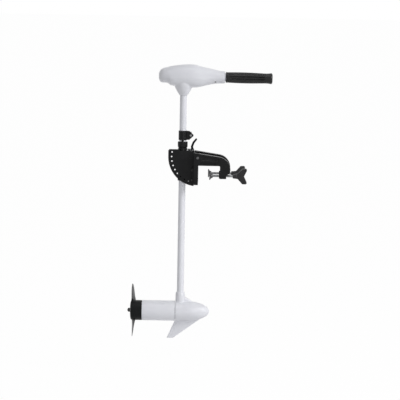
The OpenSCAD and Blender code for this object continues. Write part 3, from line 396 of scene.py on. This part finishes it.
# convex skin over level rings of (ahead, radius, up) in mm, each squeezed lengthwise
def hullRings(rings, centre, sides, squeeze=1):
    bm = bmesh.new()
    for ahead, radius, up in rings:
        ring = bmesh.ops.create_circle(bm, segments=sides, radius=radius * mm)["verts"]
        bmesh.ops.scale(bm, verts=ring, vec=(squeeze, 1, 1))
        bmesh.ops.translate(bm, verts=ring, vec=centre + mm * Vector((ahead, 0, up)))
    made = bmesh.ops.convex_hull(bm, input=bm.verts)
    inside = [part for part in made["geom_interior"] if isinstance(part, bmesh.types.BMVert)]
    bmesh.ops.delete(bm, geom=inside, context="VERTS")
    return bm


# lays a second shape into the same bmesh
def joinShape(bm, extra):
    mesh = bpy.data.meshes.new("extra")
    extra.to_mesh(mesh)
    extra.free()
    bm.from_mesh(mesh)
    bpy.data.meshes.remove(mesh)


# one closed skin over overlapping shapes, with soft fillets where they meet
def fuseShapes(bm, voxel, softness, factor=0.5):
    holder = makeObject("fuse", bm)
    remesh = holder.modifiers.new("oneSkin", "REMESH")
    remesh.mode = "VOXEL"
    remesh.voxel_size = voxel
    soften = holder.modifiers.new("soften", "SMOOTH")
    soften.factor = factor
    soften.iterations = softness
    graph = bpy.context.evaluated_depsgraph_get()
    fused = bpy.data.meshes.new_from_object(holder.evaluated_get(graph))
    bpy.data.objects.remove(holder)
    result = bmesh.new()
    result.from_mesh(fused)
    bpy.data.meshes.remove(fused)
    return result


def cutAway(bm, point, normal):
    geom = bm.verts[:] + bm.edges[:] + bm.faces[:]
    bmesh.ops.bisect_plane(bm, geom=geom, dist=cutTolerance, plane_co=point, plane_no=normal,
                           clear_outer=True)


# drills a closed shape out of a piece and keeps the result as its mesh
def cutHole(piece, hole):
    cutter = makeObject("cutter", hole)
    drill = piece.modifiers.new("drill", "BOOLEAN")
    drill.operation = "DIFFERENCE"
    drill.solver = "EXACT"
    drill.object = cutter
    graph = bpy.context.evaluated_depsgraph_get()
    done = bpy.data.meshes.new_from_object(piece.evaluated_get(graph))
    piece.modifiers.clear()
    piece.data = done
    bpy.data.objects.remove(cutter)


# CAD nodes that keep their own shape and get softened edges: widths in mm, angles in degrees
softEdges = {
    "segments": 3, "sharperThan": 35, "flatWithin": 0.5, "smooth": 40,
    "widths": {
        "clamp_frame": 2.4, "index_quadrant": 0.2, "far_cheek": 0.6, "tilt_yoke": 1.4,
        "tension_collar": 0.6, "lock_lever": 1.1, "depth_collar": 1.3, "collar_knob": 1.3,
        "clamp_knob_near": 2.6, "clamp_knob_far": 2.6, "pivot_bolt": 0.8, "pivot_nut": 0.8,
        "bracket_bolts": 0.6, "collar_bolt": 0.8, "collar_washer": 0.25, "lock_rod": 0.4,
        "lock_pin": 0.5, "rear_bell": 0.7, "prop_nut": 0.9, "prop_washer": 0.25,
        "clamp_pad_near": 0.8, "clamp_pad_far": 0.8, "tiller_bushing": 0.6, "lead_gland": 0.8,
        "head_screws": 0.35, "neck_screw": 0.4, "grip_cap": 1.2,
    },
}


def softenNode(node, width):
    bm = bmesh.new()
    bm.from_mesh(nodes[node].data)
    bmesh.ops.remove_doubles(bm, verts=bm.verts, dist=mergeDistance)
    bmesh.ops.dissolve_limit(bm, angle_limit=math.radians(softEdges["flatWithin"]),
                             verts=bm.verts, edges=bm.edges)
    piece = makePiece(node, bm, softEdges["smooth"])
    bevel = piece.modifiers.new("roundEdges", "BEVEL")
    bevel.width = width * mm
    bevel.segments = softEdges["segments"]
    bevel.limit_method = "ANGLE"
    bevel.angle_limit = math.radians(softEdges["sharperThan"])
    bevel.harden_normals = True
    return piece


softened = {node: softenNode(node, width) for node, width in softEdges["widths"].items()}
print("edges softened on", len(softened), "nodes")

# web of each clamp arm, let in above a rounded lower flange: ramp as depth and height in mm
armWeb = {
    "from": 14, "to": 86, "slope": 8.5, "top": 83, "depth": 4.6,
    "ramp": [(-1, 54), (0, 55), (0.5, 58), (1.5, 60.8), (3, 63.4), (4.6, 65.4)],
}


def cutArmWebs():
    low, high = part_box("clamp_frame")
    clear = armWeb["ramp"][0][0]  # the cutter starts a little outside the arm
    hole = bmesh.new()
    for face, inward in ((low.y, mm), (high.y, -mm)):
        rings = []
        for ahead in (armWeb["from"], armWeb["to"]):
            fall = (ahead - armWeb["from"]) * math.tan(math.radians(armWeb["slope"]))
            top = armWeb["top"] - fall
            profile = armWeb["ramp"] + [(armWeb["depth"], top), (clear, top)]
            ring = [hole.verts.new((ahead * mm, face + inward * deep, height * mm))
                    for deep, height in profile]
            for pair in zip(ring, ring[1:] + ring[:1]):
                hole.edges.new(pair)
            rings.append(ring)
        skinRings(hole, rings)
    cutHole(softened["clamp_frame"], hole)


cutArmWebs()
print("arm webs cut")

# plain round tubes, turned finely
tubes = {
    "shaft_tube": {"axis": alongZ, "wall": 3.2, "edge": 0.5, "smooth": 30},
    "motor_tube": {"axis": alongX, "wall": 3.0, "edge": 0.9, "smooth": 30},
}


def makeTube(node, look):
    low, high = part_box(node)
    half = abs((high - low).dot(look["axis"])) / 2
    outer = (high - low).y / 2
    inner = outer - look["wall"] * mm
    edge = look["edge"] * mm
    bm = bmesh.new()
    outline = [(inner, -half), (outer - edge, -half), (outer, -half + edge), (outer, half - edge),
               (outer - edge, half), (inner, half), (inner, -half)]
    turnOutline(bm, outline, middle(node), look["axis"])
    makePiece(node, bm, look["smooth"])


for node, look in tubes.items():
    makeTube(node, look)
print("tubes turned")

# head shell, rows: place along the head as a share of its reach, width as a share of the
# greatest, bottom and top above the shaft's end in mm, squareness of the section
# cone round the shaft: radius and height above the shaft's end in mm
head = {
    "back": 103, "front": 167, "width": 94, "parting": 22, "wall": 2.0, "seam": 0.35,
    "sides": 56, "partsPerRow": 3, "voxel": 1.5, "softness": 24, "smooth": 50,
    "rows": [
        (-1.00, 0.16, 24.6, 43.6, 2.0), (-0.975, 0.42, 16.6, 51.6, 2.1), (-0.92, 0.62, 8.6, 59.6, 2.2),
        (-0.82, 0.76, 6.1, 66.6, 2.3), (-0.68, 0.86, 5.8, 70.1, 2.4), (-0.61, 0.90, 3.5, 71.6, 2.4),
        (-0.55, 0.93, -2.5, 73.6, 2.4), (-0.44, 0.96, -5.5, 76.1, 2.4), (-0.10, 1.00, -8, 81.1, 2.4),
        (0.15, 0.985, -10.5, 83.3, 2.4), (0.30, 0.93, -12, 81.4, 2.4), (0.45, 0.82, -7, 74.2, 2.3),
        (0.60, 0.70, -0.8, 69.2, 2.2), (0.76, 0.60, 4.6, 63.2, 2.1), (0.89, 0.555, 6.3, 58.6, 2.0),
        (1.00, 0.54, 6.5, 57.5, 2.0), (1.05, 0.54, 6.5, 57.5, 2.0),
    ],
    "cone": [(16.5, -50), (16.5, -44.5), (19.5, -40), (25.5, -31), (34, -15), (38.5, -4),
             (40.5, 6), (39, 18), (28, 30)],
    "screwPlace": (131, -40, 12.6), "screwHole": 3.7, "screwDepth": 42, "screwSides": 32,
}


def makeHeadForm(centre):
    bm = bmesh.new()
    rings = []
    for share, wide, low, high, square in smoothRows(head["rows"], head["partsPerRow"]):
        reach = head["back"] if share < 0 else head["front"]
        ring = bmesh.ops.create_circle(bm, segments=head["sides"], radius=1)["verts"]
        for vert in ring:  # round the unit circle out into a soft square
            flat = [math.copysign(abs(part) ** (2 / square), part) for part in vert.co.xy]
            vert.co = centre + mm * Vector((
                share * reach, flat[0] * wide * head["width"] / 2,
                (low + high) / 2 + flat[1] * (high - low) / 2))
        rings.append(ring)
    skinRings(bm, rings)
    cone = bmesh.new()
    flare = smoothRows(head["cone"], head["partsPerRow"])
    turnOutline(cone, metres([(0, flare[0][1]), *flare, (0, flare[-1][1])]), centre, alongZ)
    joinShape(bm, cone)
    return fuseShapes(bm, head["voxel"] * mm, head["softness"])


def drillScrewHole(piece, centre):
    hole = bmesh.new()
    radius = head["screwHole"] * mm
    place = Matrix.Translation(centre + mm * Vector(head["screwPlace"]))
    bmesh.ops.create_cone(hole, cap_ends=True, segments=head["screwSides"], radius1=radius,
                          radius2=radius, depth=head["screwDepth"] * mm,
                          matrix=place @ Matrix.Rotation(math.pi / 2, 4, "X"))
    cutHole(piece, hole)


def makeHeadShells():
    centre = Vector((shaftX, 0, shaftTop))
    whole = makeHeadForm(centre)
    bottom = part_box("head_base")[0].z - shaftTop
    for node, side in (("head_cover", -1), ("head_base", 1)):
        bm = whole.copy()
        seam = head["parting"] * mm - side * head["seam"] * mm / 2
        cutAway(bm, centre + alongX * head["front"] * mm, alongX)
        cutAway(bm, centre + alongZ * bottom, -alongZ)
        cutAway(bm, centre + alongZ * seam, alongZ * side)
        piece = makePiece(node, bm, head["smooth"])
        wall = piece.modifiers.new("wall", "SOLIDIFY")
        wall.thickness = head["wall"] * mm
        wall.offset = -1  # inwards
        if node == "head_base":
            drillScrewHole(piece, centre)
    whole.free()


makeHeadShells()
print("head shells made")

# nose of the motor with its neck and skeg, in mm from the shaft's axis and the motor's axis;
# fairing and skeg as rings of (ahead, radius, up)
nose = {
    "straight": 43, "overlap": 8, "curveSteps": 18, "voxel": 1.25, "softness": 4, "smooth": 50,
    "neckRadius": 19.5, "neckTop": 81, "neckLip": 16.9, "lipLength": 8,
    "fairing": [(8, 12.5, 0), (8, 12.5, 60), (42, 5, 0), (42, 5, 44)], "fairingSides": 32,
    "skeg": [(104, 2.0, -18), (70, 6.0, -18), (20, 6.5, -18), (-10, 2.5, -18),
             (-29, 1.5, -116), (-54, 1.2, -116)],
    "skegSides": 16, "skegSqueeze": 0.6,
    "cavity": 30.5, "cavityEnd": 30, "seamGap": 2.2, "seamDepth": 6.0, "trim": 0.8, "trimLength": 40,
}


def makeNoseForm(centre, radius):
    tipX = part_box("nose_housing")[1].x
    curveFrom = seamX + nose["straight"] * mm
    rear = seamX - shaftX - nose["overlap"] * mm
    outline = [(0, rear), (radius, rear)]
    for step in range(nose["curveSteps"] + 1):
        turn = math.pi / 2 * step / nose["curveSteps"]
        along = curveFrom - shaftX + (tipX - curveFrom) * math.sin(turn)
        outline.append((radius * math.cos(turn), along))
    bm = bmesh.new()
    turnOutline(bm, outline, centre, alongX)
    neck = bmesh.new()
    wide, top = nose["neckRadius"], nose["neckTop"]
    turnOutline(neck, metres([(0, 0), (wide, 0), (wide, top - nose["lipLength"]),
                              (nose["neckLip"], top), (0, top)]), centre, alongZ)
    joinShape(bm, neck)
    joinShape(bm, hullRings(nose["fairing"], centre, nose["fairingSides"]))
    joinShape(bm, hullRings(nose["skeg"], centre, nose["skegSides"], nose["skegSqueeze"]))
    return fuseShapes(bm, nose["voxel"] * mm, nose["softness"])


def makeNose():
    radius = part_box("motor_tube")[1].z - motorAxisZ
    form = makeNoseForm(Vector((shaftX, 0, motorAxisZ)), radius)
    piece = makePiece("nose_housing", form, nose["smooth"])
    hole = bmesh.new()  # trims the rear face, opens the cavity and leaves a narrow groove at the seam
    rear, depth = -nose["trimLength"] * mm, shaftX - seamX + nose["cavityEnd"] * mm
    wide, cavity = radius + nose["trim"] * mm, nose["cavity"] * mm
    gap, low = nose["seamGap"] * mm, radius - nose["seamDepth"] * mm
    outline = [(0, rear), (wide, rear), (wide, gap), (low, gap), (low, 0), (cavity, 0),
               (cavity, depth), (0, depth)]
    turnOutline(hole, outline, Vector((seamX, 0, motorAxisZ)), alongX)
    cutHole(piece, hole)


makeNose()
print("nose housing made")

# propeller, in mm and degrees: hub as radius and place ahead of its rear end; blade rows give
# radius as a share of the tip's, chord, pitch angle, thickness and place ahead of the hub's rear end
propeller = {
    "tip": 111, "partsPerRow": 4, "bladeSides": 32, "voxel": 0.85, "softness": 4, "smooth": 50,
    "hub": [(4.9, 0), (12, 0), (30, 1), (39, 3.4), (42, 9), (42, 49), (38.5, 49), (38.5, 8),
            (11, 7), (11, 46), (4.9, 46), (4.9, 0)],
    "rows": [
        (0.28, 50, 22, 7.4, 14), (0.45, 62, 12, 5.8, 13.4), (0.58, 71, 8, 4.8, 12.4),
        (0.73, 74, 6, 4.0, 11.3), (0.87, 66, 4.6, 3.0, 10.2), (0.95, 46, 4, 2.5, 9.6),
        (1.00, 16, 3.5, 2.0, 9),
    ],
}


def makeBlade(centre, turn):
    blade = bmesh.new()
    rings = []
    for share, chord, pitch, thick, ahead in smoothRows(propeller["rows"], propeller["partsPerRow"]):
        ring = bmesh.ops.create_circle(blade, segments=propeller["bladeSides"], radius=mm / 2)["verts"]
        bmesh.ops.scale(blade, verts=ring, vec=(thick, chord, 1))
        bmesh.ops.rotate(blade, verts=ring, cent=(0, 0, 0),
                         matrix=Matrix.Rotation(-math.radians(pitch), 3, "Z"))
        bmesh.ops.translate(blade, verts=ring, vec=mm * Vector((ahead, 0, share * propeller["tip"])))
        rings.append(ring)
    skinRings(blade, rings)
    bmesh.ops.rotate(blade, verts=blade.verts, cent=(0, 0, 0), matrix=Matrix.Rotation(turn, 3, "X"))
    bmesh.ops.translate(blade, verts=blade.verts, vec=centre)
    return blade


def makePropeller():
    centre = Vector((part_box("propeller")[0].x, 0, motorAxisZ))
    bm = bmesh.new()
    turnOutline(bm, metres(propeller["hub"]), centre, alongX)
    for turn in (0, math.pi):
        joinShape(bm, makeBlade(centre, turn))
    form = fuseShapes(bm, propeller["voxel"] * mm, propeller["softness"])
    makePiece("propeller", form, propeller["smooth"], "propellerBlades")


makePropeller()
print("propeller made")

# tiller: the outer tube and the ribbed grip, in mm and degrees; it drops a little towards the grip
tiller = {
    "rise": 32, "drop": 0.6, "tube": 17, "bore": 13.6, "tail": 168, "smooth": 30,
    "gripStart": 6, "gripLength": 185, "gripRadius": 22.8, "gripRows": 60, "play": 0.05,
    "swell": 1.6, "swellTurn": 230, "rearFlare": 1.2, "rearFlareTo": 0.05,
    "frontFlare": 2.4, "frontFlareFrom": 0.86,
    "grooves": 14, "stepsPerGroove": 10, "grooveDepth": 2.9, "grooveWidth": 0.27,
    "grooveFrom": 10, "grooveTo": 165, "grooveFade": 5,
}


def gripRadius(share):
    swell = tiller["swell"] * math.sin(math.radians(tiller["swellTurn"] * share))
    front = max(0, (share - tiller["frontFlareFrom"]) / (1 - tiller["frontFlareFrom"]))
    rear = max(0, (tiller["rearFlareTo"] - share) / tiller["rearFlareTo"])
    flare = tiller["frontFlare"] * front ** 2 + tiller["rearFlare"] * rear ** 2
    return tiller["gripRadius"] - tiller["swell"] + swell + flare


# presses the grooves into the sleeve between its two flanges
def pressGrooves(bm, begin, along, bore):
    grooveFrom = tiller["gripStart"] + tiller["grooveFrom"]
    grooveTo = tiller["gripStart"] + tiller["grooveTo"]
    for vert in bm.verts:
        reach = vert.co - begin
        place = reach.dot(along)
        out = reach - along * place
        if out.length < bore + mm:
            continue
        turn = math.atan2(out.y, out.z) / (2 * math.pi) * tiller["grooves"]
        valley = max(0, 1 - (abs(turn - round(turn)) / tiller["grooveWidth"]) ** 2)
        inside = min(place / mm - grooveFrom, grooveTo - place / mm)
        fade = min(1, max(0, inside / tiller["grooveFade"]))
        vert.co -= out.normalized() * valley * fade * tiller["grooveDepth"] * mm


def makeTiller():
    slope = math.radians(tiller["drop"])
    along = Vector((math.cos(slope), 0, -math.sin(slope)))
    begin = Vector((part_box("head_cover")[1].x, 0, shaftTop + tiller["rise"] * mm))
    start, length, count = tiller["gripStart"], tiller["gripLength"], tiller["gripRows"]
    end, tail = start + length, -tiller["tail"]
    outer, inner = tiller["tube"], tiller["bore"]
    bm = bmesh.new()
    outline = [(inner, tail), (outer, tail), (outer, end), (inner, end), (inner, tail)]
    turnOutline(bm, metres(outline), begin, along)
    makePiece("tiller_tube", bm, tiller["smooth"])
    bore = outer + tiller["play"]
    rows = [(gripRadius(row / count), start + length * row / count) for row in range(count + 1)]
    bm = bmesh.new()
    turnOutline(bm, metres([(bore, start), *rows, (bore, end), (bore, start)]), begin, along,
                tiller["grooves"] * tiller["stepsPerGroove"])
    pressGrooves(bm, begin, along, bore * mm)
    makePiece("grip_sleeve", bm, tiller["smooth"])


makeTiller()
print("tiller and grip made")

# clamp screws with a rolled thread where they pass through the bracket, in mm; the ridge's
# foot and top are half widths as shares of the pitch
screwThread = {
    "core": 4.55, "crest": 5.0, "pitch": 3.0, "plainTip": 3, "plainEnd": 24, "chamfer": 1,
    "shoulder": 0.5, "ridgeSink": 0.3, "ridgeFoot": 0.32, "ridgeTop": 0.1,
    "steps": 24, "sides": 48, "smooth": 30,
}


def makeScrew(node):
    low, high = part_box(node)
    centre = Vector((low.x, (low.y + high.y) / 2, (low.z + high.z) / 2))
    length = (high.x - low.x) / mm
    core, crest, pitch = screwThread["core"], screwThread["crest"], screwThread["pitch"]
    chamfer, plain = screwThread["chamfer"], length - screwThread["plainEnd"]
    outline = [(0, 0), (core - chamfer, 0), (core, chamfer), (core, plain),
               (crest, plain + screwThread["shoulder"]), (crest, length), (0, length)]
    bm = bmesh.new()
    turnOutline(bm, metres(outline), centre, alongX, screwThread["sides"])
    begin = screwThread["plainTip"]
    turns = int((plain - begin - pitch) / pitch)
    root = core - screwThread["ridgeSink"]
    foot, top = screwThread["ridgeFoot"] * pitch, screwThread["ridgeTop"] * pitch
    ridge = [(root, -foot), (crest, -top), (crest, top), (root, foot)]
    verts = [bm.verts.new(centre + mm * Vector((begin + pitch / 2 + along, 0, radius)))
             for radius, along in ridge]
    edges = [bm.edges.new(pair) for pair in zip(verts, verts[1:] + verts[:1])]
    faces = [bm.faces.new(verts)]
    steps = screwThread["steps"] * turns
    bmesh.ops.spin(bm, geom=verts + edges + faces, cent=centre, axis=alongX,
                   dvec=(pitch * turns / steps * mm, 0, 0), angle=2 * math.pi * turns, steps=steps,
                   use_merge=False, use_duplicate=False)
    bmesh.ops.recalc_face_normals(bm, faces=bm.faces)
    makePiece(node, bm, screwThread["smooth"])


for node in ("clamp_screw_near", "clamp_screw_far"):
    makeScrew(node)
print("clamp screws threaded")

# every other node keeps its own mesh and gets its finish
for node, shown in nodes.items():
    shown.data.materials.clear()
    shown.data.materials.append(finishFor(node))
print("finishes laid on the nodes")

# stage: floor, backdrop light and lamps, in metres and watts
stage = {
    "floorDrop": 0.17, "floorSize": 240, "floorColour": (0.9, 0.9, 0.905), "floorRoughness": 0.9,
    "floorGlow": 0.98, "floorStrength": 1.0, "skyLight": 0.385, "skySeen": 1.0,
    "lamps": {
        "keyLamp": {"place": (4.2, -2.6, 2.9), "aim": (-0.07, 0, -0.1), "size": 2.0, "spread": 180,
                    "power": 152},
        "fillLamp": {"place": (1.3, -2.6, -0.3), "aim": (-0.1, 0, -0.58), "size": 0.8, "spread": 60,
                     "power": 1.4},
        "topLamp": {"place": (0.2, -1.6, 4.0), "aim": (-0.07, 0, -0.1), "size": 1.4, "spread": 180,
                    "power": 15},
    },
}


def makeFloor():
    bm = bmesh.new()
    bmesh.ops.create_grid(bm, x_segments=2, y_segments=2, size=stage["floorSize"] / 2)
    bmesh.ops.translate(bm, verts=bm.verts, vec=(0, 0, cadBox[0].z - stage["floorDrop"]))
    floor = makeObject("floor", bm)
    finish = Finish("paleFloor")
    floor.data.materials.append(finish.surface({
        "Base Color": (*stage["floorColour"], 1), "Roughness": stage["floorRoughness"],
        "Specular IOR Level": 0.0}))
    shaded = Wire(finish, finish.shader.outputs[0])
    glow = finish.add("ShaderNodeEmission", {}, {"Strength": stage["floorStrength"]})
    seen = finish.backdropRays() * stage["floorGlow"]  # short of 1, so that the shadow stays
    both = finish.add("ShaderNodeMixShader", {}, {0: seen, 1: shaded, 2: glow})
    finish.feed(finish.tree.nodes["Material Output"].inputs["Surface"], both)


def makeWorld():
    world = bpy.data.worlds.new("paleStudio")
    bpy.context.scene.world = world
    wiring = Wiring(world)
    back = wiring.tree.nodes["Background"]
    light = wiring.between(wiring.backdropRays(), (0, 1), stage["skyLight"], stage["skySeen"])
    wiring.feed(back.inputs["Color"], (1, 1, 1, 1))
    wiring.feed(back.inputs["Strength"], light)


def makeLamp(name, look):
    lamp = bpy.data.lights.new(name, "AREA")
    lamp.shape = "DISK"
    lamp.size = look["size"]
    lamp.energy = look["power"]
    lamp.spread = math.radians(look["spread"])
    holder = bpy.data.objects.new(name, lamp)
    holder.location = look["place"]
    aim = Vector(look["aim"]) - holder.location
    holder.rotation_euler = aim.to_track_quat("-Z", "Y").to_euler()
    bpy.context.scene.collection.objects.link(holder)


makeFloor()
makeWorld()
for name, look in stage["lamps"].items():
    makeLamp(name, look)

# camera: to starboard, slightly above and ahead of square, as the photograph was taken
camera = {
    "azimuth": 0.5, "elevation": 7.0, "roll": 1.02, "distance": 6.924, "aim": (0.0096, 0, -0.1075),
    "lens": 150.0, "sensor": 36,
}


def makeCamera():
    lens = bpy.data.cameras.new("photoCamera")
    lens.lens = camera["lens"]
    lens.sensor_width = camera["sensor"]
    holder = bpy.data.objects.new("photoCamera", lens)
    bpy.context.scene.collection.objects.link(holder)
    across, above = math.radians(camera["azimuth"]), math.radians(camera["elevation"])
    back = Vector((math.sin(across) * math.cos(above), -math.cos(across) * math.cos(above),
                   math.sin(above)))
    holder.location = Vector(camera["aim"]) + back * camera["distance"]
    turn = (-back).to_track_quat("-Z", "Y").to_matrix().to_4x4()
    roll = Matrix.Rotation(math.radians(camera["roll"]), 4, "Z")
    holder.rotation_euler = (turn @ roll).to_euler()
    bpy.context.scene.camera = holder


makeCamera()
bpy.context.scene.view_settings.view_transform = "Standard"
print("stage, lamps and camera placed")
